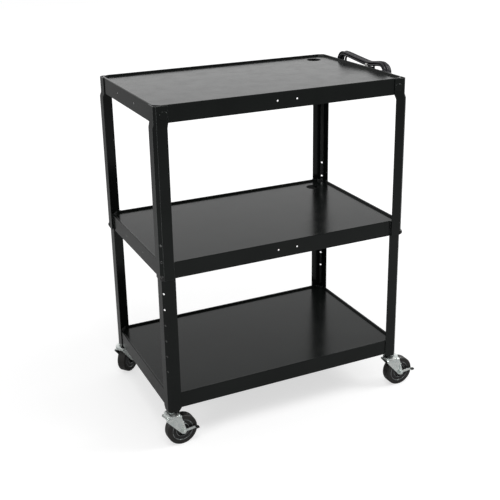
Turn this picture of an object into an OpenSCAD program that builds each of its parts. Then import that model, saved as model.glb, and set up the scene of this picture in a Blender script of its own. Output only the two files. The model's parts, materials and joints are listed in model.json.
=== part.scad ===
// Projector cart with three shelves. The top shelf's legs slide outside the lower legs,
// and four bolts in the bevelled corners hold them at one of seven heights.
// Origin on the floor, x to the right, y to the back, z up.

/* [Shelves] */
// Width of a shelf, left to right
shelf_w = 812.8; // [600:0.1:1000]
// Depth of a shelf, front to back
shelf_d = 508; // [460:0.1:700]
// Height of a shelf's apron, lip included
apron_h = 50.8; // [46:0.1:60]
// Thickness of the shelf's sheet metal
sheet_t = 1.2; // [0.8:0.1:1.6]
// Height of the retaining lip above the shelf's surface
lip_h = 6.35; // [4:0.05:12]
// Width of the folded lip
lip_w = 6.4; // [6:0.1:10]
// Outside radius of the sheet's bends
bend_r = 2; // [1.8:0.1:2.4]
// Height of the hem folded back inside the apron
hem_h = 9; // [5:0.5:14]
// Length that the clipped corner takes off each side of a shelf
corner_cut = 20; // [20:0.5:24]
// Height of the top shelf's lip above the floor, with the legs fully raised
top_height = 1066.8; // [1020:0.1:1150]
// Height of the middle shelf's lip above the floor
middle_height = 605.5; // [600:0.1:640]
// Height of the bottom shelf's lip above the floor
bottom_height = 177.2; // [170:0.1:190]
// Diameter of the cable holes
cable_hole_d = 48; // [30:1:60]
// Distance of the cable holes' axis from the shelf's right edge
cable_hole_side = 73; // [50:1:120]
// Distance of the cable holes' axis from the shelf's rear edge
cable_hole_rear = 65; // [50:1:100]
// Diameter of the accessory holes in the aprons
apron_hole_d = 5.5; // [4:0.1:6.5]
// Depth of the accessory holes below the lip
apron_hole_drop = 25.4; // [20:0.1:30]
// Diameter of the holes for the power strip's screws
strip_hole_d = 5.1; // [5:0.1:6]
// Distance between the two accessory holes of a front or rear apron
front_hole_spacing = 63.5; // [40:0.1:120]
// Distance between the two accessory holes of a side apron
side_hole_spacing = 155.6; // [140:0.1:180]

/* [Legs] */
// Width of a leg angle's flange
leg_w = 41.3; // [36:0.1:50]
// Thickness of a leg angle
leg_t = 2.7; // [2.4:0.1:3.2]
// Length that a lower leg's bevel takes off each side of its corner
leg_bevel = 7; // [6:0.1:8]
// Gap between an upper leg and the lower leg inside it
slide_gap = 1.4; // [0.8:0.1:2]
// How far a lower leg reaches below the bottom apron
leg_foot = 10; // [9.5:0.1:14]
// Width of the corner taken off a foot's free edges
foot_chamfer_w = 8; // [4:0.5:10]
// Height of the corner taken off a foot's free edges
foot_chamfer_h = 10; // [5:0.5:14]
// Height of the joggle that brings an upper leg in against the top apron
joggle_h = 13; // [8:0.5:20]
// Distance of an upper leg's top end below the lip
leg_top_drop = 1.5; // [0.5:0.5:6]
// Diameter of the holes in the bevels
leg_hole_d = 7; // [6.8:0.1:7.4]
// Distance between the height stops
hole_pitch = 50.8; // [40:0.1:55]
// Number of height stops
stops = 7; // [3:1:7]
// Number of holes in an upper leg
upper_holes = 3; // [1:1:5]
// Height of the lowest hole above an upper leg's end
bolt_rise = 7.7; // [6:0.1:12]

/* [Height bolts and rivets] */
// Diameter of a height bolt's shank
bolt_d = 6.35; // [6:0.05:6.4]
// Diameter of a height bolt's domed head
bolt_head_d = 17.5; // [14:0.5:19]
// Height of a height bolt's domed head
bolt_head_h = 6; // [4:0.5:8]
// Width of a height bolt's nut across its flats
bolt_nut_af = 11.1; // [10:0.1:11.5]
// Thickness of a height bolt's nut
bolt_nut_h = 5.2; // [4:0.1:5.6]
// Distance of the nut from the bevel's inside, where the flanges stop it
nut_stand = 2.2; // [2.2:0.1:2.6]
// Length of a height bolt past its nut
bolt_end = 1; // [0.5:0.1:1.2]
// Diameter of a leg rivet's head
rivet_head_d = 26; // [16:1:30]
// Height of a leg rivet's head
rivet_head_h = 1.6; // [1:0.1:3]
// Diameter of a leg rivet's shank
rivet_d = 6.35; // [5:0.05:8]
// Diameter of a leg rivet's upset end
rivet_end_d = 10; // [9:0.5:11]
// Height of a leg rivet's upset end
rivet_end_h = 2.4; // [1.5:0.1:4]
// Distance of a leg rivet from the shelf's corner
rivet_side = 26; // [26:0.5:28]
// Depth of a leg rivet below the lip
rivet_drop = 29; // [26:0.5:34]

/* [Casters] */
// Distance of a caster's swivel axis inside the shelf's edges
caster_inset = 9.5; // [9.4:0.1:12]
// Diameter of a wheel over its tread
wheel_d = 98; // [90:1:100]
// Width of a wheel's tread
tread_w = 31; // [26:0.5:32]
// Distance of the wheel's axis behind the swivel axis
swivel_lead = 28.7; // [24:0.1:32]
// Direction in which each caster trails, from the right towards the back
trail_angles = [3, 1, 40, 22];
// Diameter of a swivel head
head_d = 50; // [44:1:54]
// Diameter of the flat on a swivel head
head_flat_d = 28; // [20:1:34]
// Height of a swivel head's rim
head_rim_h = 5.3; // [5:0.1:7]
// Height of a swivel head's sloping crown
head_crown_h = 3.9; // [3:0.1:6]
// Thickness of a swivel head's wall
head_wall = 2; // [1.5:0.1:3]
// Diameter of a bearing ball
ball_d = 4.76; // [3:0.01:4.8]
// Number of balls in a swivel head
balls = 14; // [8:1:20]
// Radius of the circle that the balls run on
ball_circle_r = 18; // [15:0.5:19]
// Diameter of a caster's stem
stem_d = 9.525; // [8:0.005:10]
// Width of a stem's hexagonal collar across its flats
collar_af = 17; // [14:0.5:20]
// Thickness of the plate in a leg's foot
plate_t = 3; // [2.5:0.1:3.5]
// Width of the plate in a leg's foot
plate_w = 30; // [26:0.5:34]
// Width of a stem's nut across its flats
stem_nut_af = 14.3; // [13:0.1:14.5]
// Thickness of a stem's nut
stem_nut_h = 5.5; // [4:0.1:6]
// Length of a stem past its nut
stem_end = 0.8; // [0.2:0.1:1]
// Thickness of a fork's sheet
fork_t = 2.5; // [2:0.1:3]
// Length of a fork's top along the trail
fork_len = 50; // [44:1:54]
// Height of a fork's underside above the tyre
fork_clear = 2.2; // [1.5:0.1:4]
// Outside radius of a fork's bends
fork_bend_r = 5; // [3:0.5:7]
// Radius of a fork's end round the axle
fork_boss_r = 10; // [8:0.5:13]
// Width of the crease stamped in a fork's sides
crease_w = 4; // [2:0.5:6]
// Height of the crease stamped in a fork's sides
crease_h = 0.9; // [0.4:0.1:1.4]
// Distance of the crease's lower end behind the swivel axis
crease_low = 20; // [16:0.5:24]
// Distance of the crease's upper end behind the swivel axis
crease_high = 8.5; // [4:0.5:12]
// Diameter of the flange that holds a fork on its stem
retainer_d = 15; // [12:0.5:18]
// Thickness of the flange that holds a fork on its stem
retainer_h = 2.6; // [2:0.1:3]
// Diameter of an axle
axle_d = 7.94; // [6:0.01:9]
// Width of an axle's head and nut across the flats
axle_af = 12.7; // [11:0.1:14]
// Thickness of an axle's head and nut
axle_head_h = 5.2; // [4:0.1:7]
// Length of an axle past its nut
axle_end = 1.6; // [0.5:0.1:3]
// Outside diameter of the sleeve that a wheel turns on
sleeve_d = 11.1; // [10:0.1:13]
// Gap between a wheel's hub and each side of its fork
hub_gap = 0.5; // [0.3:0.1:1]
// Width of a hub's boss
hub_w = 34; // [32:0.5:36]
// Radius of a hub's boss
hub_boss_r = 11; // [8:0.5:14]
// Radius of the recess round a hub's boss
hub_recess_r = 20; // [16:0.5:26]
// Depth of the recess round a hub's boss, from the hub's face
hub_recess_depth = 5; // [2:0.5:8]
// Radius over a hub's rim
hub_r = 35; // [30:0.5:38]
// Width of a hub's rim
hub_rim_w = 27; // [22:0.5:28]
// Radius of a tyre's shoulders
tyre_shoulder_r = 4.5; // [2:0.5:6]

/* [Brakes] */
// Thickness of a brake lever
lever_t = 2; // [1.5:0.1:2.5]
// Radius of a brake lever's eye
lever_eye_r = 9.5; // [8:0.5:11]
// Width of a brake lever's arm
lever_w = 8; // [6:0.5:10]
// Distance of a brake lever's end from the axle
lever_len = 46; // [36:1:56]
// Rise of a brake lever's end, in degrees
lever_rise = 4; // [0:1:10]
// Length of the tread bent out at a brake lever's end
lever_pad_out = 11; // [6:0.5:16]
// Length of the tread bent out, along the lever
lever_pad_len = 9; // [6:0.5:14]
// Thickness of the cap on a brake lever's tread
cap_t = 1.6; // [1:0.1:3]
// Gap on each side of a brake lever
lever_gap = 0.2; // [0.1:0.05:0.4]
// Size of the lug that stops a brake lever's short arm
lug = 5; // [3:0.5:7]
// Height of the lug above the axle
lug_rise = 29; // [22:0.5:32]

/* [Power strip] */
// Length of the strip's housing
strip_len = 236; // [200:1:260]
// Depth of the strip's housing
strip_depth = 40; // [38:0.5:44]
// Height of the strip's housing
strip_h = 31; // [30:0.5:36]
// Wall of the strip's housing
strip_wall = 1.5; // [1:0.1:2.5]
// Corner radius of the strip's housing
strip_r = 3; // [2:0.5:5]
// Thickness of the bracket that carries the strip and the hank
bracket_t = 1.5; // [1:0.1:2.5]
// Length of the bracket's plate along the apron
bracket_len = 196; // [185:1:220]
// Depth of the bracket's top edge below the lip
bracket_drop = 13; // [8:0.5:16]
// Width of a cord rest
rest_w = 22; // [14:1:28]
// Height of a cord rest's upturned end
rest_lip_h = 17; // [10:0.5:20]
// Length of an outlet's face
outlet_len = 34; // [32:0.5:38]
// Height of an outlet's face
outlet_h = 25; // [23:0.5:27]
// Distance between two outlets
outlet_pitch = 66; // [50:1:72]
// How far an outlet stands out of the housing
outlet_proud = 1; // [0.5:0.1:2]
// Length of the strain relief
relief_len = 26; // [20:0.5:40]
// Diameter of the strain relief at the housing
relief_d = 13; // [10:0.5:16]
// Diameter of the strain relief at its end
relief_end_d = 9; // [8:0.5:11]
// Diameter of the strip's mounting screws
screw_d = 4.8; // [4:0.1:5.2]
// Diameter of a mounting screw's head
screw_head_d = 9.4; // [8:0.1:11]
// Height of a mounting screw's head
screw_head_h = 2.6; // [2:0.1:3]
// Width of a mounting nut across its flats
screw_nut_af = 8; // [7:0.5:10]
// Thickness of a mounting nut
screw_nut_h = 3.2; // [2.5:0.1:4]

/* [Cord] */
// Diameter of the power cord
cord_d = 7; // [6:0.1:8]
// Step from one loop of the hank to the next
loop_step = 7.8; // [7.7:0.1:9]
// Step from loop to loop at the drawn-in waist
waist_step = 8.8; // [8.7:0.1:10]
// Half of the hollow in the middle of the waist
waist_hollow = 3.5; // [2:0.1:6]
// How far the waist is lifted above the hank's middle
waist_lift = 5; // [0:0.5:8]
// Half of the straight stretch at the waist, under the tie
waist_flat = 8; // [7:0.5:12]
// Number of loops in the hank
hank_loops = 7; // [5:1:8]
// Radius of the outermost loop's rear bend
rear_fold_r = 36; // [34:0.5:40]
// Radius of the outermost loop's front bend
front_fold_r = 35; // [34:0.5:40]
// Distance of the rear bend's centre behind the waist
rear_run = 150; // [100:1:180]
// Distance of the front bend's centre before the waist
front_run = 78; // [60:1:140]
// Place of the hank's waist, in front of the shelf's middle
waist_forward = 14; // [-40:1:60]
// Depth of the hank's middle below the lip
hank_drop = 12.5; // [8:0.5:16]
// Width of the tie along the hank
tie_w = 12; // [4:0.5:16]
// Thickness of the tie
tie_t = 0.8; // [0.5:0.1:1.2]
// Length of the plug's body
plug_len = 30; // [24:0.5:40]
// Width of the plug's body
plug_w = 26; // [22:0.5:32]
// Thickness of the plug's body
plug_t = 20; // [16:0.5:24]
// Diameter of the plug's sleeve at its body
plug_neck_d = 12; // [10:0.5:14]
// Length of the sleeve between cord and plug
plug_neck_len = 20; // [16:0.5:30]
// Length of a plug's blade
blade_len = 16; // [14:0.1:18]
// Width of a plug's blade
blade_w = 6.3; // [5:0.1:7]
// Thickness of a plug's blade
blade_t = 1.5; // [1.2:0.1:2]
// Distance between a plug's two flat blades
blade_spacing = 12.7; // [11:0.1:14]
// Diameter of a plug's earth pin
earth_d = 4.8; // [4:0.1:5]

/* [Hidden] */
$fn = 64;
overrun = 1;
corners = ["front_left", "front_right", "rear_left", "rear_right"];
corner_signs = [[-1, -1], [1, -1], [-1, 1], [1, 1]];
fill = 3 * shelf_w;
root2 = sqrt(2);
seat_gap = 0.3;

// Clearances of running and loose fits, on the radius
run_gap = 0.06;
loose_gap = 0.2;

// Legs: distances from the shelf's apron planes and, for a bevel, from the shelf's unclipped corner
lower_face = leg_t;
lower_bevel = (2 * leg_t - leg_bevel) / root2;
upper_face = 2 * leg_t + slide_gap;
upper_bevel = lower_bevel + slide_gap + leg_t;
clip_plane = -corner_cut / root2;
clip_reach = (shelf_w + shelf_d) / 2 / root2 + clip_plane;
foot_z = bottom_height - apron_h - leg_foot;
upper_end_z = middle_height - apron_h;
bolt_z = upper_end_z + bolt_rise;
nut_front = lower_bevel - leg_t - nut_stand;

// Casters
wheel_r = wheel_d / 2;
fork_under = wheel_d + fork_clear;
fork_top = fork_under + fork_t;
fork_in = hub_w / 2 + hub_gap;
fork_out = fork_in + fork_t;
ball_gap = 0.1;
rim_gap = 0.5;
head_low = fork_top + rim_gap;
head_top = head_low + head_rim_h + head_crown_h;
ceiling_z = fork_top + ball_d + 2 * ball_gap;
braked = [true, true, false, false];
lever_out = fork_out + lever_gap + lever_t;

// Reach of the wheels and levers round the cart, for the place of the origin
function reach(i, turn) = let (a = trail_angles[i] - turn)
    swivel_lead * cos(a) + wheel_r * abs(cos(a)) + tread_w / 2 * abs(sin(a));
lever_reach = swivel_lead + lever_len + lever_pad_len / 2;
edge_x = shelf_w / 2 - caster_inset;
edge_y = shelf_d / 2 - caster_inset;
reach_right = edge_x + max(reach(1, 0), reach(3, 0), lever_reach);
reach_left = edge_x + max(reach(0, 180), reach(2, 180));
reach_back = edge_y + max(reach(2, 90), reach(3, 90));
reach_front = edge_y + lever_out + lever_pad_out;
middle_x = (reach_left - reach_right) / 2;
middle_y = (reach_front - reach_back) / 2;

// Power strip and cord: distances from the right apron
strip_face = bracket_t + strip_depth;
lead_out = bracket_t + seat_gap + cord_d / 2;
first_layer = lead_out + cord_d + tie_t + 3 * loose_gap;
hank_y = -waist_forward;
hank_z = top_height - hank_drop;
rest_z = hank_z - rear_fold_r - cord_d / 2 - seat_gap;
rest_y = bracket_len / 2 - rest_w / 2;
strip_top = rest_z - bracket_t - seat_gap;
strip_mid = strip_top - strip_h / 2;
relief_out = strip_face / 2 + bracket_t / 2;

// Route of the lead: from the strain relief round a wide bend and back to the hank
lead_points = [[22, -144, -72], [22, -151, -72], [21.5, -160, -71.2], [20.5, -170, -67.5], [18.5, -179.5, -60],
    [16, -186, -49], [13, -188.5, -36], [10, -186, -23.5], [7.5, -179, -13], [6, -169, -6.3], [5.5, -158, -3.5],
    [5.5, -150, -3]];
// Route of the hank's first strand, from the lead to the waist
strand_points = [[5.5, -150, -3], [5.5, -142, -3], [5.5, -122, -4], [5.5, -96, -7.5], [5.5, -70, -13],
    [5.5, -46, -19.5], [5.5, -30, -24.6]];
// Route of the tail, from the hank's last loop to the plug
tail_points = [[37.1, 145, -41.8], [37.1, 152, -41.8], [37.1, 161, -43], [37.1, 169.5, -46.6], [37.1, 176.5, -52.3],
    [37.1, 181.8, -59.8], [37.1, 185, -68.8], [37.1, 186, -78], [37.1, 186, -86]];

// Helpers: placing

module at_middle() translate([middle_x, middle_y, 0]) children();

// Puts a piece drawn for the rear right corner at corner i, mirrored
module at_corner(i) {
    s = corner_signs[i];
    at_middle() translate([s.x * shelf_w / 2, s.y * shelf_d / 2, 0])
        mirror([s.x < 0 ? 1 : 0, 0, 0]) mirror([0, s.y < 0 ? 1 : 0, 0]) children();
}

// Puts a piece drawn along z, pointing out of the corner, at height z
module out_of_corner(i, z) at_corner(i) translate([0, 0, z]) rotate([0, 0, 45]) rotate([0, 90, 0]) children();

// Puts a piece drawn round the swivel axis, trailing along x, at caster i
module at_caster(i) {
    s = corner_signs[i];
    at_middle() translate([s.x * edge_x, s.y * edge_y, 0]) rotate([0, 0, trail_angles[i]]) children();
}

// Puts a piece drawn along z at the wheel's axis, pointing to the caster's side
module at_axle() translate([swivel_lead, 0, wheel_r]) rotate([90, 0, 0]) children();

// Puts a piece at the middle of the right apron, x counted outwards from its face
module at_right_apron() at_middle() translate([shelf_w / 2, 0, 0]) children();

// Helpers: shapes

// Extrudes a profile, drawn in distance and height, across the direction angle
module run(angle) rotate([90, 0, angle]) linear_extrude(fill, center = true) children();

// Takes a profile drawn inwards from a face, and gives it to both faces
module both_faces(reach) intersection() {
    translate([reach, 0]) mirror([1, 0]) children();
    translate([-reach, 0]) children();
}

// Runs a profile, drawn inwards from the edge, round the clipped outline of a shelf
module mitred() intersection() {
    run(0) both_faces(shelf_w / 2) children();
    run(90) both_faces(shelf_d / 2) children();
    run(45) both_faces(clip_reach) children();
    run(-45) both_faces(clip_reach) children();
}

// What a bend of radius r takes off the corner at the origin, with the sheet at +x and -y
module outer_bend(r) difference() {
    translate([-overrun, -r]) square([r + overrun, r + overrun]);
    translate([r, -r]) circle(r);
}

module soft_rect(x, y, r) {
    translate([-x / 2, -y / 2 + r]) square([x, y - 2 * r]);
    translate([-x / 2 + r, -y / 2]) square([x - 2 * r, y]);
    for (sx = [-1, 1], sy = [-1, 1]) translate([sx * (x / 2 - r), sy * (y / 2 - r)]) circle(r);
}

module hexagon(af, h) cylinder(d = af / cos(30), h = h, $fn = 6);

module dome(d, h) {
    r = (d * d / 4 + h * h) / 2 / h;
    rotate_extrude() intersection() {
        translate([0, h - r]) circle(r, $fn = 8 * $fn);
        square([d / 2, h]);
    }
}

// Shelves

module outer_profile() difference() {
    translate([0, -apron_h]) square([fill, apron_h]);
    outer_bend(bend_r);
}

module under_profile() {
    difference() {
        translate([sheet_t, -apron_h]) square([fill, apron_h - sheet_t]);
        translate([sheet_t, -sheet_t]) outer_bend(bend_r - sheet_t);
        translate([0, -apron_h - overrun]) square([2 * sheet_t, hem_h + overrun]);
    }
    translate([2 * sheet_t, -apron_h - overrun]) square([fill, 2 * overrun]);
}

module dish_profile() translate([lip_w - sheet_t, -lip_h - sheet_t]) difference() {
    square([fill, lip_h + 2 * sheet_t]);
    mirror([0, 1]) outer_bend(bend_r);
}

module recess_profile() translate([lip_w, 0]) {
    difference() {
        translate([0, -lip_h]) square([fill, lip_h + overrun]);
        translate([0, -lip_h]) mirror([0, 1]) outer_bend(bend_r - sheet_t);
    }
    mirror([1, 0]) translate([-overrun, 0]) difference() {
        translate([0, -bend_r]) square([bend_r + overrun, bend_r + overrun]);
        translate([bend_r + overrun, -bend_r]) circle(bend_r);
    }
}

// A formed shelf with its lip at height z
module shelf(z) at_middle() translate([0, 0, z]) difference() {
    mitred() outer_profile();
    difference() {
        mitred() under_profile();
        mitred() dish_profile();
    }
    mitred() recess_profile();
}

module apron_holes(z, right_d) at_middle() translate([0, 0, z - apron_hole_drop]) for (s = [-1, 1]) {
    translate([s * front_hole_spacing / 2, 0, 0]) rotate([90, 0, 0])
        cylinder(d = apron_hole_d, h = shelf_d + 2 * overrun, center = true);
    translate([0, s * side_hole_spacing / 2, 0]) rotate([0, 90, 0]) {
        cylinder(d = right_d, h = shelf_w);
        mirror([0, 0, 1]) cylinder(d = apron_hole_d, h = shelf_w);
    }
}

module cable_hole(z) at_middle() translate([shelf_w / 2 - cable_hole_side, shelf_d / 2 - cable_hole_rear, z - lip_h])
    cylinder(d = cable_hole_d, h = 4 * sheet_t, center = true);

module rivet_holes() for (i = [0:3]) at_rivet(i) cylinder(d = rivet_d, h = 4 * leg_t, center = true);

module top_shelf() color("dimgray") difference() {
    shelf(top_height);
    apron_holes(top_height, strip_hole_d);
    cable_hole(top_height);
    rivet_holes();
}

module middle_shelf() color("dimgray") difference() {
    shelf(middle_height);
    apron_holes(middle_height, apron_hole_d);
    cable_hole(middle_height);
}

module bottom_shelf() color("dimgray") shelf(bottom_height);

// Legs

function angle_inner(face, bevel) = let (f = face - leg_t, b = (bevel - leg_t) * root2 - f)
    [[f - leg_w, f], [b, f], [f, b], [f, f - leg_w]];

module lower_leg(i) color("#26292a") difference() {
    at_corner(i) translate([0, 0, foot_z]) linear_extrude(middle_height - foot_z) {
        f = lower_face;
        b = lower_bevel * root2 - f;
        n = angle_inner(lower_face, lower_bevel);
        polygon([[f, f - leg_w], [f, b], [b, f], [f - leg_w, f], [f - leg_w, n[0].y], n[1], n[2], [n[2].x, f - leg_w]]);
    }
    for (k = [0:stops - 1]) out_of_corner(i, bolt_z - k * hole_pitch) leg_hole();
    at_corner(i) for (turn = [0, 1]) mirror([turn, -turn, 0]) foot_corner();
}

module leg_hole() cylinder(d = leg_hole_d, h = 4 * leg_t + 4 * slide_gap, center = true);

// What is taken off the free corner of the flange along x, at the foot
module foot_corner() translate([lower_face - leg_w, 0, foot_z]) rotate([90, 0, 0])
    linear_extrude(4 * leg_t, center = true) polygon([
        [-overrun, -overrun], [foot_chamfer_w, -overrun], [foot_chamfer_w, 0], [0, foot_chamfer_h],
        [-overrun, foot_chamfer_h]]);

// Stretch of a leg, width wide behind its face, that steps in from low to high at the joggle
module joggled(low, high, width, more) {
    bend = top_height - apron_h;
    polygon([[low - width, upper_end_z - more], [low, upper_end_z - more], [low, bend - joggle_h], [high, bend],
        [high, top_height - leg_top_drop + more], [high - width, top_height - leg_top_drop + more],
        [high - width, bend], [low - width, bend - joggle_h]]);
}

module leg_form(inset, width, more) intersection() {
    run(0) joggled(upper_face - inset, lower_face - inset, width, more);
    run(90) joggled(upper_face - inset, lower_face - inset, width, more);
    run(45) joggled(upper_bevel - inset, lower_bevel - inset, 2 * width, more);
}

module upper_leg(i) color("#26292a") difference() {
    at_corner(i) difference() {
        leg_form(0, leg_w, 0);
        leg_form(leg_t, 2 * leg_w, overrun);
    }
    for (k = [0:upper_holes - 1]) out_of_corner(i, bolt_z + k * hole_pitch) leg_hole();
    rivet_holes();
}

// Height bolts and rivets

module height_bolts() color("#141414") for (i = [0:3]) out_of_corner(i, bolt_z) {
    translate([0, 0, upper_bevel]) dome(bolt_head_d, bolt_head_h);
    translate([0, 0, nut_front - bolt_nut_h - bolt_end])
        cylinder(d = bolt_d, h = upper_bevel - nut_front + bolt_nut_h + bolt_end + bolt_head_h / 2);
}

module height_nuts() color("silver") for (i = [0:3]) out_of_corner(i, bolt_z)
    translate([0, 0, nut_front - bolt_nut_h]) difference() {
        hexagon(bolt_nut_af, bolt_nut_h);
        translate([0, 0, -overrun]) cylinder(d = bolt_d + run_gap, h = bolt_nut_h + 2 * overrun);
    }

// A rivet's axis points out of the front or rear apron, from its face
module at_rivet(i) at_corner(i) translate([-rivet_side, 0, top_height - rivet_drop]) rotate([-90, 0, 0]) children();

module leg_rivets() color("#202223") for (i = [0:3]) at_rivet(i) {
    translate([0, 0, leg_t]) cylinder(d1 = rivet_head_d, d2 = rivet_head_d - 2 * rivet_head_h, h = rivet_head_h);
    translate([0, 0, -sheet_t]) cylinder(d = rivet_d, h = leg_t + sheet_t);
    translate([0, 0, -sheet_t]) mirror([0, 0, 1]) dome(rivet_end_d, rivet_end_h);
}

// Casters

module caster_plates() color("silver") for (i = [0:3]) difference() {
    at_corner(i) translate([0, 0, foot_z]) linear_extrude(plate_t) {
        n = angle_inner(lower_face, lower_bevel);
        polygon([[-plate_w, n[0].y], n[1], n[2], [n[2].x, -plate_w], [-plate_w / 2, -plate_w], [-plate_w, -plate_w / 2]]);
    }
    at_caster(i) cylinder(d = stem_d + 2 * run_gap, h = 2 * foot_z);
}

module stem_nuts() color("silver") for (i = [0:3]) at_caster(i) translate([0, 0, foot_z + plate_t]) difference() {
    hexagon(stem_nut_af, stem_nut_h);
    translate([0, 0, -overrun]) cylinder(d = stem_d + run_gap, h = stem_nut_h + 2 * overrun);
}

// The head is fast to its stem, whose flange carries the fork
module swivel_head(i) color("silver") at_caster(i) {
    difference() {
        translate([0, 0, head_low]) {
            cylinder(d = head_d, h = head_rim_h);
            translate([0, 0, head_rim_h]) cylinder(d1 = head_d, d2 = head_flat_d, h = head_crown_h);
        }
        translate([0, 0, head_low - overrun]) cylinder(d = head_d - 2 * head_wall, h = ceiling_z - head_low + overrun);
    }
    translate([0, 0, head_top]) hexagon(collar_af, foot_z - head_top);
    translate([0, 0, fork_under - seat_gap - retainer_h]) {
        cylinder(d = stem_d, h = foot_z + plate_t + stem_nut_h + stem_end - fork_under + seat_gap + retainer_h);
        cylinder(d = retainer_d, h = retainer_h);
    }
}

module swivel_balls() color("silver") for (i = [0:3]) at_caster(i) for (k = [0:balls - 1])
    rotate([0, 0, 360 * k / balls]) translate([ball_circle_r, 0, fork_top + ball_gap + ball_d / 2]) sphere(d = ball_d);

// Side view of a fork: its top, and edges that run down to the round end at the axle
module fork_side() {
    c = [swivel_lead, wheel_r];
    front = [-fork_len / 2, fork_under - fork_bend_r];
    back = [fork_len / 2, fork_under - fork_bend_r];
    polygon([[-fork_len / 2, fork_top], front, touch(front, c, -1), c, touch(back, c, 1), back, [fork_len / 2, fork_top]]);
    translate(c) circle(fork_boss_r);
}

// Point where the line from p touches the round end at c, on the side given
function touch(p, c, side) = let (d = c - p, l = norm(d), a = acos(fork_boss_r / l), b = atan2(-d.y, -d.x) - side * a)
    c + fork_boss_r * [cos(b), sin(b)];

// End view of a fork: a channel with rounded bends
module fork_end() difference() {
    translate([0, fork_top - fork_under]) soft_rect(2 * fork_out, 2 * fork_under, fork_bend_r);
    soft_rect(2 * fork_in, 2 * fork_under, fork_bend_r - fork_t);
}

module fork(i) color("silver") at_caster(i) difference() {
    union() {
        intersection() {
            rotate([90, 0, 90]) linear_extrude(fill, center = true) fork_end();
            rotate([90, 0, 0]) linear_extrude(fill, center = true) fork_side();
        }
        for (s = [0, 1]) mirror([0, s, 0]) fork_crease();
        if (braked[i]) translate([swivel_lead - lug / 2, -fork_out - lever_t, wheel_r + lug_rise]) cube([lug, lever_t, lug]);
    }
    at_axle() cylinder(d = axle_d + run_gap, h = 2 * fork_out + 2 * overrun, center = true);
    translate([0, 0, fork_under - overrun]) cylinder(d = stem_d + 2 * run_gap, h = fork_t + 2 * overrun);
}

// Ridge down the middle of a fork's side, from its bend to the round end
module fork_crease() {
    low = wheel_r + fork_boss_r;
    high = fork_under - fork_bend_r;
    translate([0, -fork_out, 0]) rotate([90, 0, 0]) linear_extrude(crease_h) polygon([
        [crease_low - crease_w / 2, low], [crease_low + crease_w / 2, low],
        [crease_high + crease_w / 2, high], [crease_high - crease_w / 2, high]]);
}

function nut_seat(i) = braked[i] ? lever_out + lever_gap : fork_out;

module axle(i) color("silver") at_caster(i) at_axle() {
    translate([0, 0, -fork_out - axle_head_h]) {
        hexagon(axle_af, axle_head_h);
        cylinder(d = axle_d, h = fork_out + axle_head_h + nut_seat(i) + axle_head_h + axle_end);
    }
    translate([0, 0, nut_seat(i)]) hexagon(axle_af, axle_head_h);
}

module axle_sleeve(i) color("silver") at_caster(i) at_axle() difference() {
    cylinder(d = sleeve_d, h = 2 * fork_in, center = true);
    cylinder(d = axle_d + run_gap, h = 2 * fork_in + 2 * overrun, center = true);
}

module hub(i) color("#1b1b1c") at_caster(i) at_axle() difference() {
    union() {
        cylinder(r = hub_boss_r, h = hub_w, center = true);
        cylinder(r = hub_r, h = hub_rim_w, center = true);
    }
    for (s = [0, 1]) mirror([0, 0, s]) translate([0, 0, hub_rim_w / 2 - hub_recess_depth]) difference() {
        cylinder(r = hub_recess_r, h = hub_w);
        translate([0, 0, -overrun]) cylinder(r = hub_boss_r, h = hub_w + 2 * overrun);
    }
    cylinder(d = sleeve_d + 2 * run_gap, h = hub_w + 2 * overrun, center = true);
}

module tyre(i) color("#2a2a2b") at_caster(i) at_axle() rotate_extrude($fn = 96) difference() {
    translate([wheel_r / 2, 0]) soft_rect(wheel_r, tread_w, tyre_shoulder_r);
    translate([0, -tread_w]) square([hub_r, 2 * tread_w]);
}

// Brakes

// A lever's outline, with x along the arm from the axle
module lever_side() {
    circle(lever_eye_r);
    translate([0, -lever_w / 2]) square([lever_len, lever_w]);
    translate([-lever_w / 4, 0]) square([lever_w / 2, lug_rise - lug]);
}

module brake_lever(i) color("silver") at_caster(i) at_axle() rotate(lever_rise) difference() {
    translate([0, 0, fork_out + lever_gap]) {
        linear_extrude(lever_t) lever_side();
        translate([lever_len - lever_t, -lever_w / 2, 0]) cube([lever_t, lever_w, lever_t + lever_pad_out / 3]);
        translate([lever_len - lever_pad_len, lever_w / 2 - lever_t, 0])
            cube([lever_pad_len, lever_t, lever_t + lever_pad_out]);
    }
    cylinder(d = axle_d + 2 * run_gap, h = 4 * fork_out, center = true);
}

module brake_cap(i) color("#1b1b1c") at_caster(i) at_axle() rotate(lever_rise)
    translate([lever_len - lever_pad_len, lever_w / 2 - lever_t, lever_out + lever_pad_out / 3]) difference() {
        translate([0, -cap_t, 0]) cube([lever_pad_len + cap_t, lever_t + 2 * cap_t, lever_pad_out * 2 / 3 + cap_t]);
        translate([-overrun, 0, -overrun]) cube([lever_pad_len + overrun, lever_t, lever_pad_out * 2 / 3 + overrun]);
    }

// Power strip

module strip_bracket() color("#1c1d1e") at_right_apron() difference() {
    union() {
        translate([0, -bracket_len / 2, strip_top - strip_h])
            cube([bracket_t, bracket_len, top_height - bracket_drop - strip_top + strip_h]);
        for (s = [-1, 1]) translate([0, s * rest_y - rest_w / 2, rest_z - bracket_t]) {
            cube([strip_face + bracket_t, rest_w, bracket_t]);
            translate([strip_face, 0, 0]) cube([bracket_t, rest_w, rest_lip_h]);
        }
    }
    for (s = [-1, 1]) at_screw(s) cylinder(d = strip_hole_d, h = 4 * bracket_t, center = true);
}

// A screw's axis points out of the right apron, from its face
module at_screw(s) translate([0, s * side_hole_spacing / 2, top_height - apron_hole_drop]) rotate([0, 90, 0]) children();

module strip_screws() color("silver") at_right_apron() for (s = [-1, 1]) at_screw(s) {
    translate([0, 0, bracket_t]) dome(screw_head_d, screw_head_h);
    translate([0, 0, -sheet_t - screw_nut_h - sheet_t]) cylinder(d = screw_d, h = bracket_t + 2 * sheet_t + screw_nut_h);
}

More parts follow.
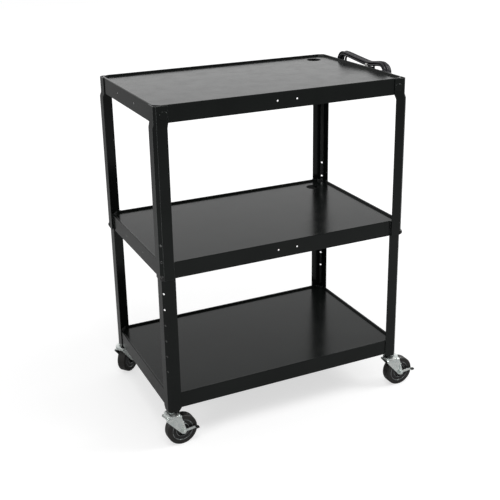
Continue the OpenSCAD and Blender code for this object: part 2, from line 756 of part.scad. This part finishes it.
module strip_nuts() color("silver") at_right_apron() for (s = [-1, 1]) at_screw(s)
    translate([0, 0, -sheet_t - screw_nut_h]) difference() {
        hexagon(screw_nut_af, screw_nut_h);
        translate([0, 0, -overrun]) cylinder(d = screw_d + run_gap, h = screw_nut_h + 2 * overrun);
    }

module strip_housing() color("#1c1d1e") at_right_apron() difference() {
    translate([bracket_t + strip_depth / 2, 0, strip_mid]) rotate([90, 0, 0])
        linear_extrude(strip_len, center = true) soft_rect(strip_depth, strip_h, strip_r);
    translate([bracket_t + strip_depth / 2, 0, strip_mid])
        cube([strip_depth - 2 * strip_wall, strip_len - 2 * strip_wall, strip_h - 2 * strip_wall], center = true);
    for (k = [-1:1]) translate([strip_face, k * outlet_pitch, strip_mid])
        cube([4 * strip_wall, outlet_len, outlet_h], center = true);
    translate([relief_out, -strip_len / 2, strip_mid]) rotate([90, 0, 0])
        cylinder(d = relief_d, h = 4 * strip_wall, center = true);
}

// Each outlet is a block behind its window, with two slots and a round earth hole
module strip_outlets() color("#101112") at_right_apron() for (k = [-1:1])
    translate([strip_face, k * outlet_pitch, strip_mid]) difference() {
        translate([-strip_depth / 2, -outlet_len / 2 + loose_gap, -outlet_h / 2 + loose_gap])
            cube([strip_depth / 2 + outlet_proud, outlet_len - 2 * loose_gap, outlet_h - 2 * loose_gap]);
        for (s = [-1, 1]) translate([0, s * blade_spacing / 2 - blade_t, 0])
            cube([strip_depth / 3, 2 * blade_t, blade_w + 2 * blade_t]);
        translate([-blade_len / 2, 0, -blade_w - blade_t]) rotate([0, 90, 0]) cylinder(d = earth_d, h = blade_len);
    }

module strain_relief() color("#101112") at_right_apron() translate([relief_out, -strip_len / 2, strip_mid])
    rotate([90, 0, 0]) {
        translate([0, 0, -2 * strip_wall]) cylinder(d = relief_d - 2 * loose_gap, h = 2 * strip_wall);
        cylinder(d1 = relief_d + strip_wall, d2 = relief_end_d, h = relief_len);
    }

// Cord

// A ring of the cord round p, square to the direction d, corner up
function ring(p, d, r, sides) = let (u = d / norm(d), a = cross([0, 0, 1], u),
    s = norm(a) > 0.05 ? a / norm(a) : [1, 0, 0], t = cross(u, s))
    [for (k = [0:sides - 1]) p + r * (cos(360 * k / sides) * s + sin(360 * k / sides) * t)];

// A closed tube through the points; its two ends are square to the first and the last run
module tube(p, r, sides) {
    n = len(p);
    rings = [for (i = [0:n - 1]) ring(p[i], p[min(i + 1, n - 1)] - p[max(i - 1, 0)], r, sides)];
    points = [for (q = rings) each q];
    faces = concat(
        [[for (k = [0:sides - 1]) k]],
        [for (i = [0:n - 2], k = [0:sides - 1]) let (a = i * sides + k, b = i * sides + (k + 1) % sides)
            each [[a, a + sides, b], [b, a + sides, b + sides]]],
        [[for (k = [sides - 1:-1:0]) (n - 1) * sides + k]]);
    polyhedron(points, faces);
}

// Shape of the hank. t counts loops from the waist's lower run; a loop goes to the rear, over the top
// and back. The loops spiral in for two turns and out for two, and step out a layer along the lower run.
function level(t) = let (m = t % 4) m <= 2 ? m : 4 - m;
function layer(t) = let (steps = [for (k = [1:3]) min(max((t - 2 * k) * 4 + 0.5, 0), 1)]) steps * [1, 1, 1];
function layer_out(t) = t < 1 / 8 ? lead_out + (first_layer - lead_out) * max(16 * t - 1, 0)
    : first_layer + layer(t) * loop_step;
function ease(s) = s * s * (3 - 2 * s);
function waist_half(e) = waist_hollow + (2 - e) * waist_step;
function run_half(s, e, fold_r) = waist_half(e) + (fold_r - e * loop_step - waist_half(e)) * ease(s);
function hank_point(t) = let (f = t % 1, e = level(t), out = layer_out(t),
    rear = f < 0.5, half_turn = rear ? f : 1 - f, fold_r = rear ? rear_fold_r : front_fold_r,
    run_len = rear ? rear_run : -front_run, along = rear ? 1 : -1,
    s = half_turn < 0.125 ? half_turn * 8 : half_turn > 0.375 ? (0.5 - half_turn) * 8 : 1,
    a = (half_turn - 0.125) * 720 - 90, r = fold_r - e * loop_step,
    flat = half_turn <= 0.125 || half_turn >= 0.375,
    z = flat ? (half_turn < 0.25 ? -1 : 1) * run_half(s, e, fold_r) : r * sin(a),
    y = flat ? s * run_len : run_len + along * r * cos(a))
    [out, hank_y + y, z + waist_lift * (1 - ease(s)) - hank_drop];

// Places of the 24 rings of a loop: seven steps round each bend, five along each run, flat at the waist
rear_share = waist_flat / rear_run / 8;
front_share = waist_flat / front_run / 8;
loop_shares = concat([rear_share, 1 / 16], [for (k = [0:6]) 1 / 8 + k / 28],
    [3 / 8, 7 / 16, 1 / 2 - rear_share, 1 / 2 + front_share, 9 / 16], [for (k = [0:6]) 5 / 8 + k / 28],
    [7 / 8, 15 / 16, 1 - front_share]);

hank_turns = concat([for (k = [0:hank_loops - 1], f = loop_shares) k + f],
    [for (f = [rear_share, 1 / 16, 1 / 8]) hank_loops + f]);

module at_lip() at_right_apron() translate([0, 0, top_height]) children();

hank_path = concat(strand_points, [for (t = hank_turns) hank_point(t)], [tail_points[0]]);

// Least distance between two runs of the hank that aren't neighbours, less the cord
function gap_to(p, a, b) = let (d = b - a, s = min(max((p - a) * d / (d * d), 0), 1)) norm(p - a - s * d);
hank_gap = min([for (i = [0:len(hank_path) - 1], j = [0:len(hank_path) - 2]) if (abs(i - j) > 3 && abs(i - j - 1) > 3)
    gap_to(hank_path[i], hank_path[j], hank_path[j + 1])]) - cord_d;
function path_len(p) = [for (i = [1:len(p) - 1]) norm(p[i] - p[i - 1])] * [for (i = [1:len(p) - 1]) 1];
echo(hank_gap = hank_gap, cord_length = path_len(lead_points) + path_len(hank_path) + path_len(tail_points));

module cord_lead() color("#232327") at_lip() tube(lead_points, cord_d / 2, 8);
module cord_hank() color("#232327") at_lip() tube(hank_path, cord_d / 2, 6);
module cord_tail() color("#232327") at_lip() tube(tail_points, cord_d / 2, 8);

// The tie goes under the topmost strands and round the rest of the waist
module hank_tie() color("white") at_lip() {
    high = waist_half(1) - tie_t / 2;
    low = waist_half(0) + cord_d / 2 + 3 * loose_gap;
    wide = 3 * loop_step + cord_d + 2 * loose_gap;
    translate([first_layer + 3 * loop_step / 2, hank_y, waist_lift - hank_drop + (high - low) / 2]) rotate([90, 0, 0])
        linear_extrude(tie_w, center = true) difference() {
            soft_rect(wide + 2 * tie_t, high + low + 2 * tie_t, cord_d / 2);
            soft_rect(wide, high + low, cord_d / 2 - tie_t);
        }
}

module at_plug() at_lip() translate(tail_points[len(tail_points) - 1]) mirror([0, 0, 1]) children();

module plug_body() color("#101112") at_plug() {
    cylinder(d1 = relief_end_d, d2 = plug_neck_d, h = plug_neck_len);
    translate([0, 0, plug_neck_len]) linear_extrude(plug_len) soft_rect(plug_t, plug_w, plug_t / 3);
}

module plug_blades() color("silver") at_plug() translate([0, 0, plug_neck_len + plug_len]) {
    for (s = [-1, 1]) translate([-blade_w / 2 - earth_d / 2, s * blade_spacing / 2 - blade_t / 2, 0])
        cube([blade_w, blade_t, blade_len]);
    translate([plug_t / 2 - earth_d, 0, 0]) cylinder(d = earth_d, h = blade_len);
}

top_shelf();
middle_shelf();
bottom_shelf();
for (i = [0:3]) upper_leg(i);
for (i = [0:3]) lower_leg(i);
height_bolts();
height_nuts();
leg_rivets();
caster_plates();
stem_nuts();
swivel_balls();
for (i = [0:3]) swivel_head(i);
for (i = [0:3]) fork(i);
for (i = [0:3]) axle(i);
for (i = [0:3]) axle_sleeve(i);
for (i = [0:3]) hub(i);
for (i = [0:3]) tyre(i);
for (i = [0, 1]) brake_lever(i);
for (i = [0, 1]) brake_cap(i);
strip_bracket();
strip_housing();
strip_outlets();
strip_screws();
strip_nuts();
strain_relief();
cord_lead();
cord_hank();
cord_tail();
hank_tie();
plug_body();
plug_blades();
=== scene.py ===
import json
import math
from collections import namedtuple
import bpy
from mathutils import Matrix, Vector


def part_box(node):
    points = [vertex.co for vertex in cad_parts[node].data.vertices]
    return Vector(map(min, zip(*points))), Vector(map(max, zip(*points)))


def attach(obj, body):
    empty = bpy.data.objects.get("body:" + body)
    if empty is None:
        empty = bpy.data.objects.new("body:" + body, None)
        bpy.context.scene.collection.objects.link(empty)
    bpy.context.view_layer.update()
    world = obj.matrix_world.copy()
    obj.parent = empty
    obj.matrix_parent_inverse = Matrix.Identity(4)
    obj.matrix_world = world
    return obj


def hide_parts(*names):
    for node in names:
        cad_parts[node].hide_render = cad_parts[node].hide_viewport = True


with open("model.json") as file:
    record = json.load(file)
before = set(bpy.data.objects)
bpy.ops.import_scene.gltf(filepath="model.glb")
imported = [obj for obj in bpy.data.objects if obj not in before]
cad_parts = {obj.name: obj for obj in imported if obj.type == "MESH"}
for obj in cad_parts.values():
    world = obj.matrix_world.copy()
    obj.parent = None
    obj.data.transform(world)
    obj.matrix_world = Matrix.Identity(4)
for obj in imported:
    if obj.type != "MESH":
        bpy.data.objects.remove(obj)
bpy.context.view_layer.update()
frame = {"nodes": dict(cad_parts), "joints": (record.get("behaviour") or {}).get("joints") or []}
nodes = frame["nodes"]
CORNERS = ("front_left", "front_right", "rear_left", "rear_right")


# Places that come from the frame, in metres: the top shelf's middle at its lip, and its right apron
top_low, top_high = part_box("top_shelf")
MIDDLE = (top_low + top_high) / 2
LIP_Z = top_high.z
RIGHT_X = top_high.x


# Camera: the photograph's viewpoint, fitted to the shelves' corners and the legs' edges
PHOTO_PX = 500
FOCAL_PX = 888.6
OPTICAL_AXIS_PX = (250, 200)
SENSOR_MM = 36
CAMERA_FROM_LIP = Vector((-1.1661, -2.4894, 0.5266))
CAMERA_YAW = math.radians(24.97)
CAMERA_PITCH = math.radians(18.77)
CAMERA_ROLL = math.radians(1.0)


def make_camera():
    data = bpy.data.cameras.new("camera")
    data.sensor_width = SENSOR_MM
    data.lens = SENSOR_MM * FOCAL_PX / PHOTO_PX
    data.shift_x = (PHOTO_PX / 2 - OPTICAL_AXIS_PX[0]) / PHOTO_PX
    data.shift_y = (OPTICAL_AXIS_PX[1] - PHOTO_PX / 2) / PHOTO_PX
    ahead = Vector((math.sin(CAMERA_YAW) * math.cos(CAMERA_PITCH),
                    math.cos(CAMERA_YAW) * math.cos(CAMERA_PITCH),
                    -math.sin(CAMERA_PITCH)))
    level = Vector((math.cos(CAMERA_YAW), -math.sin(CAMERA_YAW), 0))
    down = ahead.cross(level)
    right = level * math.cos(CAMERA_ROLL) + down * math.sin(CAMERA_ROLL)
    turn = Matrix((right, right.cross(ahead), -ahead)).transposed()
    place = Vector((MIDDLE.x, MIDDLE.y, LIP_Z)) + CAMERA_FROM_LIP
    camera = bpy.data.objects.new("camera", data)
    bpy.context.scene.collection.objects.link(camera)
    camera.matrix_world = Matrix.Translation(place) @ turn.to_4x4()
    bpy.context.scene.camera = camera


make_camera()


def curve_piece(name, lines, resolution, closed):
    """A piece of round tubes, one along each line; a line is its points and the tube's radius."""
    data = bpy.data.curves.new(name, "CURVE")
    data.dimensions = "3D"
    data.bevel_depth = 1
    data.bevel_resolution = resolution
    data.use_fill_caps = not closed
    for points, radius in lines:
        spline = data.splines.new("POLY")
        spline.points.add(len(points) - 1)
        for point, place in zip(spline.points, points):
            point.co = (*place, 1)
            point.radius = radius
        spline.use_cyclic_u = closed
        spline.use_smooth = True
    made = bpy.data.objects.new(name, data)
    bpy.context.scene.collection.objects.link(made)
    return made


# Power cord: its route and the hank's shape are part.scad's, in metres
CORD_D = 0.007

# From the right apron's middle at the lip: how far outwards, to the rear and up
LEAD_POINTS = [(.022, -.144, -.072), (.022, -.151, -.072), (.0215, -.160, -.0712), (.0205, -.170, -.0675),
               (.0185, -.1795, -.060), (.016, -.186, -.049), (.013, -.1885, -.036), (.010, -.186, -.0235),
               (.0075, -.179, -.013), (.006, -.169, -.0063), (.0055, -.158, -.0035), (.0055, -.150, -.003)]
STRAND_POINTS = [(.0055, -.142, -.003), (.0055, -.122, -.004), (.0055, -.096, -.0075),
                 (.0055, -.070, -.013), (.0055, -.046, -.0195), (.0055, -.030, -.0246)]
TAIL_POINTS = [(.0371, .145, -.0418), (.0371, .152, -.0418), (.0371, .161, -.043), (.0371, .1695, -.0466),
               (.0371, .1765, -.0523), (.0371, .1818, -.0598), (.0371, .185, -.0688), (.0371, .186, -.078),
               (.0371, .186, -.086)]
LEAD_OUT = .0053
FIRST_LAYER = .0137
LOOP_STEP = .0078
WAIST_STEP = .0088
WAIST_HOLLOW = .0035
WAIST_LIFT = .005
WAIST_FLAT = .008
HANK_LOOPS = 7
REAR_FOLD_R = .036
FRONT_FOLD_R = .035
REAR_RUN = .150
FRONT_RUN = .078
HANK_Y = -.014
HANK_DROP = .0125

# A run from the waist to a bend takes an eighth of a loop, and a bend takes a quarter
RUN = 1 / 8
BEND_RINGS = 7
CORD_STEPS = 4
CORD_RESOLUTION = 4


def ease(share):
    return share * share * (3 - 2 * share)


def hank_level(t):
    """How many steps inside the outermost loop: the loops spiral in for two turns and out for two."""
    level = t % 4
    return level if level <= 2 else 4 - level


def hank_layer(t):
    """How many layers out the cord is: it steps out by one along the lower run of every second loop."""
    return sum(min(max((t - 2 * k) * 4 + 0.5, 0), 1) for k in (1, 2, 3))


def hank_out(t):
    """Distance out from the apron. The first run comes out from the lead to the first layer."""
    if t < RUN:
        return LEAD_OUT + (FIRST_LAYER - LEAD_OUT) * max(16 * t - 1, 0)
    return FIRST_LAYER + hank_layer(t) * LOOP_STEP


def hank_point(t):
    """Centre of the cord t loops after the waist's lower run."""
    share = t % 1
    level = hank_level(t)
    rear = share < 0.5
    half_turn = share if rear else 1 - share
    run = REAR_RUN if rear else -FRONT_RUN
    fold_r = (REAR_FOLD_R if rear else FRONT_FOLD_R) - level * LOOP_STEP
    if RUN < half_turn < 0.5 - RUN:
        along = 1
        angle = math.radians((half_turn - RUN) * 720 - 90)
        y = run + math.copysign(fold_r, run) * math.cos(angle)
        z = fold_r * math.sin(angle)
    else:
        along = min(half_turn, 0.5 - half_turn) / RUN
        waist = WAIST_HOLLOW + (2 - level) * WAIST_STEP
        y = along * run
        z = (waist + (fold_r - waist) * ease(along)) * (-1 if half_turn < 0.25 else 1)
    return (hank_out(t), HANK_Y + y, z + WAIST_LIFT * (1 - ease(along)) - HANK_DROP)


def hank_turns():
    """Places of each loop's rings: seven steps round each bend, five along each run, flat at the waist."""
    rear = WAIST_FLAT / REAR_RUN * RUN
    front = WAIST_FLAT / FRONT_RUN * RUN
    bend = [RUN + k / (4 * BEND_RINGS) for k in range(BEND_RINGS)]
    shares = [rear, RUN / 2] + bend + [3 / 8, 7 / 16, 1 / 2 - rear]
    shares += [1 / 2 + front, 9 / 16] + [1 / 2 + share for share in bend] + [7 / 8, 15 / 16, 1 - front]
    turns = [loop + share for loop in range(HANK_LOOPS) for share in shares]
    return turns + [HANK_LOOPS + share for share in (rear, RUN / 2, RUN)]


def smoothed(points, steps):
    """The points with a curve through them, in so many steps to each stretch."""
    points = [Vector(p) for p in points]
    ends = [2 * points[0] - points[1]] + points + [2 * points[-1] - points[-2]]
    made = []
    for a, b, c, d in zip(ends, ends[1:], ends[2:], ends[3:]):
        ab, bc, cd = ((q - p).length ** 0.5 for p, q in ((a, b), (b, c), (c, d)))
        out = (b - a) / ab - (c - a) / (ab + bc) + (c - b) / bc
        into = (c - b) / bc - (d - b) / (bc + cd) + (d - c) / cd
        for k in range(steps):
            t = k / steps
            h = ease(t)
            made.append(b * (1 - h) + c * h + bc * (out * t * (1 - t) ** 2 - into * t * t * (1 - t)))
    return made + [points[-1]]


def make_cord():
    route = LEAD_POINTS + STRAND_POINTS + [hank_point(t) for t in hank_turns()] + TAIL_POINTS
    start = Vector((RIGHT_X, MIDDLE.y, LIP_Z))
    places = [start + p for p in smoothed(route, CORD_STEPS)]
    cord = curve_piece("power_cord", [(places, CORD_D / 2)], CORD_RESOLUTION, closed=False)
    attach(cord, "upper_frame")
    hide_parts("cord_lead", "cord_hank", "cord_tail")
    return cord


cord = make_cord()


# Beads on the hubs' faces, at the rim's edge and at the recess: the ring's radius and the bead's, in metres
BEADS = ((0.0335, 0.0016), (0.0212, 0.0011))
BEAD_OUT = 0.0135
BEAD_STEPS = 64
BEAD_RESOLUTION = 3


def make_beads(corner):
    """The raised beads on both faces of a wheel's hub, round the roll joint's axis."""
    roll = next(j for j in frame["joints"] if j["name"] == f"roll_{corner}")
    middle = Vector(roll["pos_m"])
    axis = Vector(roll["axis"])
    across = Vector((axis.y, -axis.x, 0))
    turns = [math.tau * k / BEAD_STEPS for k in range(BEAD_STEPS)]
    spokes = [across * math.cos(turn) + Vector((0, 0, math.sin(turn))) for turn in turns]
    rings = [([middle + axis * BEAD_OUT * side + spoke * radius for spoke in spokes], bead)
             for radius, bead in BEADS for side in (-1, 1)]
    made = curve_piece(f"hub_beads_{corner}", rings, BEAD_RESOLUTION, closed=True)
    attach(made, f"wheel_{corner}")
    return made


beads = [make_beads(corner) for corner in CORNERS]


# Materials: a noise is its scale, detail and roughness, and the middle of its range is used
NOISE_BAND = (0.35, 0.65)

# Smoother and rougher are how far the roughness goes down and up, and height is the grain's, in metres
Finish = namedtuple("Finish", "metallic tone_noise rough_noise smoother rougher grain_noise strength height")
COAT = Finish(0, (6, 4, 0.5), (18, 5, 0.6), 0.02, 0.03, (900, 3, 0.6), 0.05, 0.0001)
PLATE = Finish(1, (90, 4, 0.5), (260, 4, 0.5), 0.06, 0.12, (700, 2, 0.5), 0.1, 0.0001)
RUBBER = Finish(0, (70, 6, 0.65), (120, 5, 0.5), 0.08, 0.1, (500, 4, 0.5), 0.25, 0.0002)
PLASTIC = Finish(0, (40, 3, 0.5), (150, 4, 0.5), 0.05, 0.07, (1600, 2, 0.5), 0.15, 0.0001)

# The coat reflects a little less and greener than the plastics, and has shallow waves under its grain
COAT_IOR = 1.34
COAT_TINT = (0.965, 1, 0.99, 1)
WAVE_NOISE = (90, 2, 0.5)
WAVE_STRENGTH = 0.02
WAVE_HEIGHT = 0.0003

# Each material's finish, its dark and light tones, and its roughness
RECIPES = {
    "powder_coat": (COAT, (0.0045, 0.0055, 0.0052), (0.007, 0.0085, 0.0078), 0.19),
    "black_hardware": (PLASTIC, (0.012, 0.012, 0.012), (0.02, 0.02, 0.02), 0.3),
    "zinc": (PLATE, (0.76, 0.82, 0.81), (0.93, 0.96, 0.93), 0.3),
    "tyre_rubber": (RUBBER, (0.007, 0.0065, 0.0055), (0.016, 0.0145, 0.0125), 0.42),
    "hub_plastic": (PLASTIC, (0.004, 0.004, 0.004), (0.008, 0.008, 0.008), 0.2),
    "brake_cap": (PLASTIC, (0.012, 0.012, 0.012), (0.018, 0.018, 0.018), 0.35),
    "strip_paint": (COAT, (0.018, 0.018, 0.018), (0.024, 0.024, 0.024), 0.4),
    "outlet_plastic": (PLASTIC, (0.01, 0.01, 0.01), (0.016, 0.016, 0.016), 0.3),
    "cord_jacket": (PLASTIC, (0.014, 0.013, 0.017), (0.022, 0.02, 0.027), 0.36),
    "tie": (PLASTIC, (0.7, 0.7, 0.68), (0.8, 0.8, 0.78), 0.4),
    "brass": (PLATE, (0.72, 0.52, 0.24), (0.86, 0.66, 0.34), 0.25),
    "hub_gloss": (PLATE, (0.16, 0.17, 0.17), (0.34, 0.36, 0.36), 0.2),
    # The edge coat is a painted highlight: a far paler coat that stands in for the light caught by the
    # rounded edges of the powder-coated nodes
    "painted_edge_highlight": (COAT, (0.13, 0.14, 0.138), (0.19, 0.2, 0.197), 0.25),
}


def add(tree, kind, **values):
    """A new node, with its settings and the values of its inputs."""
    node = tree.nodes.new(kind)
    for key, value in values.items():
        if hasattr(node, key):
            setattr(node, key, value)
        else:
            node.inputs[key.replace("_", " ")].default_value = value
    return node


def places_of(tree):
    return add(tree, "ShaderNodeTexCoord").outputs["Object"]


def noise(tree, scale, detail, roughness):
    texture = add(tree, "ShaderNodeTexNoise", Scale=scale, Detail=detail, Roughness=roughness)
    tree.links.new(places_of(tree), texture.inputs["Vector"])
    return texture.outputs["Fac"]


def spread(tree, value, low, high, band=NOISE_BAND):
    """A number that goes from low to high while the value goes through the band."""
    node = add(tree, "ShaderNodeMapRange", From_Min=band[0], From_Max=band[1], To_Min=low, To_Max=high)
    tree.links.new(value, node.inputs["Value"])
    return node.outputs["Result"]


def toned(tree, value, dark, light):
    """A colour that goes from dark to light while the value goes through the noise's band."""
    node = add(tree, "ShaderNodeValToRGB")
    for element, position, colour in zip(node.color_ramp.elements, NOISE_BAND, (dark, light)):
        element.position = position
        element.color = (*colour, 1)
    tree.links.new(value, node.inputs["Fac"])
    return node.outputs["Color"]


def bump(tree, relief, strength, height, below=None):
    node = add(tree, "ShaderNodeBump", Strength=strength, Distance=height)
    tree.links.new(relief, node.inputs["Height"])
    if below:
        tree.links.new(below, node.inputs["Normal"])
    return node.outputs["Normal"]


def new_material(name, finish, dark, light, roughness):
    made = bpy.data.materials.new(name)
    made.use_nodes = True
    tree = made.node_tree
    shader = tree.nodes["Principled BSDF"]
    shader.inputs["Base Color"].default_value = (*dark, 1)
    shader.inputs["Roughness"].default_value = roughness
    shader.inputs["Metallic"].default_value = finish.metallic
    tone = toned(tree, noise(tree, *finish.tone_noise), dark, light)
    tree.links.new(tone, shader.inputs["Base Color"])
    smooth, rough = roughness - finish.smoother, roughness + finish.rougher
    polish = spread(tree, noise(tree, *finish.rough_noise), smooth, rough)
    tree.links.new(polish, shader.inputs["Roughness"])
    waves = None
    if finish is COAT:
        shader.inputs["IOR"].default_value = COAT_IOR
        shader.inputs["Specular Tint"].default_value = COAT_TINT
        waves = bump(tree, noise(tree, *WAVE_NOISE), WAVE_STRENGTH, WAVE_HEIGHT)
    grain = bump(tree, noise(tree, *finish.grain_noise), finish.strength, finish.height, waves)
    tree.links.new(grain, shader.inputs["Normal"])
    return made


MATERIALS = {name: new_material(name, *recipe) for name, recipe in RECIPES.items()}

# The CAD nodes of each material, after the radius of their edges in metres
DRESSED_NODES = {
    "powder_coat": (0.0007, ["top_shelf", "middle_shelf", "bottom_shelf", "caster_plates", "leg_rivets"]
                    + [f"{level}_leg_{c}" for level in ("upper", "lower") for c in CORNERS]),
    "black_hardware": (0.0003, ["height_bolts", "height_nuts"]),
    "zinc": (0.0003, ["stem_nuts", "swivel_balls", "strip_screws", "strip_nuts"]
             + [f"{part}_{c}" for part in ("swivel_head", "fork", "axle", "axle_sleeve") for c in CORNERS]
             + [f"brake_lever_{c}" for c in CORNERS[:2]]),
    "tyre_rubber": (0.0005, [f"tyre_{c}" for c in CORNERS]),
    "hub_plastic": (0.0006, [f"hub_{c}" for c in CORNERS]),
    "brake_cap": (0.0004, [f"brake_cap_{c}" for c in CORNERS[:2]]),
    "strip_paint": (0.0004, ["strip_bracket", "strip_housing"]),
    "outlet_plastic": (0.0004, ["strip_outlets", "strain_relief", "plug_body"]),
    "tie": (0.0002, ["hank_tie"]),
    "brass": (0.0002, ["plug_blades"]),
}
ROUND_NODES = ("swivel_balls",)
# Powder-coated nodes whose rounded edges get no painted highlight
NO_EDGE_HIGHLIGHT_NODES = ("leg_rivets", "caster_plates")
MERGE_REACH = 1e-6
FLAT_ANGLE = math.radians(0.5)
SHARP_ANGLE = math.radians(30)
EDGE_SEGMENTS = 3


def material_of(obj, name):
    obj.data.materials.clear()
    obj.data.materials.append(MATERIALS[name])


def soften(obj, radius, edge_highlight):
    """Joins coplanar triangles, then rounds each edge. Where asked, the rounded faces get a painted
    highlight: a far paler coat that stands in for the light the edges catch.
    """
    merge = obj.modifiers.new("merge", "WELD")
    merge.merge_threshold = MERGE_REACH
    flat = obj.modifiers.new("flat", "DECIMATE")
    flat.decimate_type = "DISSOLVE"
    flat.angle_limit = FLAT_ANGLE
    edge = obj.modifiers.new("edge", "BEVEL")
    edge.width = radius
    edge.segments = EDGE_SEGMENTS
    edge.limit_method = "ANGLE"
    edge.angle_limit = SHARP_ANGLE
    edge.use_clamp_overlap = True
    # The bevel's faces take the second slot, the paler coat: a painted highlight along every rounded edge
    if edge_highlight:
        obj.data.materials.append(MATERIALS["painted_edge_highlight"])
        edge.material = 1
    shade = obj.modifiers.new("shade", "WEIGHTED_NORMAL")
    shade.keep_sharp = False
    obj.data.polygons.foreach_set("use_smooth", [True] * len(obj.data.polygons))


for material, (radius, members) in DRESSED_NODES.items():
    for member in members:
        material_of(nodes[member], material)
        if member not in ROUND_NODES:
            soften(nodes[member], radius, material == "powder_coat" and member not in NO_EDGE_HIGHLIGHT_NODES)
material_of(cord, "cord_jacket")
for ring in beads:
    material_of(ring, "hub_gloss")


# Floor: its glow for the camera grows over a band of distances from the middle, in metres
FLOOR_REACH = 12
FLOOR_COLOUR = (0.55, 0.55, 0.55)
FLOOR_GLOW, FAR_GLOW = 0.63, 0.82
FAR_BAND = (0.7, 3.0)

# World: the cart is lit more from one side, which these bands measure as the cosine of the angle to it
BRIGHT_SIDE = Vector((0.36, 0.78, 0.5))
FRONT_LIGHT, BACK_LIGHT = 0.3, 0.6
LIGHT_BAND = (-0.5, 0.6)
FRONT_GLOSS, BACK_GLOSS = 0.28, 1.0
GLOSS_BAND = (-0.25, 0.35)

# What the cart reflects of the world is dimmed to this share overhead, over a band of the direction's height
HIGH_GLOSS = 0.62
HIGH_BAND = (0.2, 0.55)

# Lamps: the place, the height over the middle that it points at, the size in metres and the power in watts
LAMPS = {
    "key_lamp": ((2.7, -1.1, 2.6), 0.4, 1.3, 45),
    "left_lamp": ((-2.9, -1.3, 1.6), 0.6, 0.8, 14),
    "front_lamp": ((-0.7, -1.7, 3.4), 0.6, 1.2, 22),
}


def make_floor():
    """A floor that keeps the shadows; what the camera sees of it is lifted to white."""
    mesh = bpy.data.meshes.new("floor")
    corners = [(x * FLOOR_REACH, y * FLOOR_REACH, 0) for x, y in ((-1, -1), (1, -1), (1, 1), (-1, 1))]
    mesh.from_pydata(corners, [], [(0, 1, 2, 3)])
    floor = bpy.data.objects.new("floor", mesh)
    bpy.context.scene.collection.objects.link(floor)
    made = bpy.data.materials.new("floor")
    made.use_nodes = True
    tree = made.node_tree
    tree.nodes.clear()
    diffuse = add(tree, "ShaderNodeBsdfDiffuse", Color=(*FLOOR_COLOUR, 1))
    glow = add(tree, "ShaderNodeEmission")
    path = add(tree, "ShaderNodeLightPath")
    share = add(tree, "ShaderNodeMath", operation="MULTIPLY")
    away = add(tree, "ShaderNodeVectorMath", operation="LENGTH")
    tree.links.new(places_of(tree), away.inputs[0])
    tree.links.new(path.outputs["Is Camera Ray"], share.inputs[0])
    tree.links.new(spread(tree, away.outputs["Value"], FLOOR_GLOW, FAR_GLOW, FAR_BAND), share.inputs[1])
    tree.links.new(share.outputs["Value"], glow.inputs["Strength"])
    both = add(tree, "ShaderNodeAddShader")
    out = add(tree, "ShaderNodeOutputMaterial")
    tree.links.new(diffuse.outputs["BSDF"], both.inputs[0])
    tree.links.new(glow.outputs["Emission"], both.inputs[1])
    tree.links.new(both.outputs["Shader"], out.inputs["Surface"])
    mesh.materials.append(made)


def make_world():
    """White where the camera looks at it; as light it is bright behind the cart and dim in front."""
    world = bpy.data.worlds.new("world")
    bpy.context.scene.world = world
    world.use_nodes = True
    tree = world.node_tree
    light = tree.nodes["Background"]
    light.inputs["Color"].default_value = (1, 1, 1, 1)
    place = add(tree, "ShaderNodeTexCoord").outputs["Generated"]
    side = add(tree, "ShaderNodeVectorMath", operation="DOT_PRODUCT")
    side.inputs[1].default_value = BRIGHT_SIDE.normalized()
    tree.links.new(place, side.inputs[0])
    height = add(tree, "ShaderNodeSeparateXYZ")
    tree.links.new(place, height.inputs["Vector"])
    gloss = add(tree, "ShaderNodeMath", operation="MULTIPLY")
    towards = side.outputs["Value"]
    tree.links.new(spread(tree, towards, FRONT_GLOSS, BACK_GLOSS, GLOSS_BAND), gloss.inputs[0])
    tree.links.new(spread(tree, height.outputs["Z"], 1, HIGH_GLOSS, HIGH_BAND), gloss.inputs[1])
    path = add(tree, "ShaderNodeLightPath")
    strength = spread(tree, towards, FRONT_LIGHT, BACK_LIGHT, LIGHT_BAND)
    for ray in ("Is Glossy Ray", "Is Transmission Ray", "Is Camera Ray"):
        choice = add(tree, "ShaderNodeMix")
        tree.links.new(path.outputs[ray], choice.inputs["Factor"])
        tree.links.new(strength, choice.inputs["A"])
        if ray == "Is Camera Ray":
            choice.inputs["B"].default_value = 1
        else:
            tree.links.new(gloss.outputs["Value"], choice.inputs["B"])
        strength = choice.outputs["Result"]
    tree.links.new(strength, light.inputs["Strength"])


def area_lamp(name, place, aim_height, size, power):
    data = bpy.data.lights.new(name, "AREA")
    data.energy = power
    data.size = size
    lamp = bpy.data.objects.new(name, data)
    lamp.location = place
    lamp.rotation_euler = (Vector((0, 0, aim_height)) - Vector(place)).to_track_quat("-Z", "Y").to_euler()
    bpy.context.scene.collection.objects.link(lamp)


make_floor()
make_world()
for name, settings in LAMPS.items():
    area_lamp(name, *settings)
bpy.context.scene.view_settings.view_transform = "Standard"
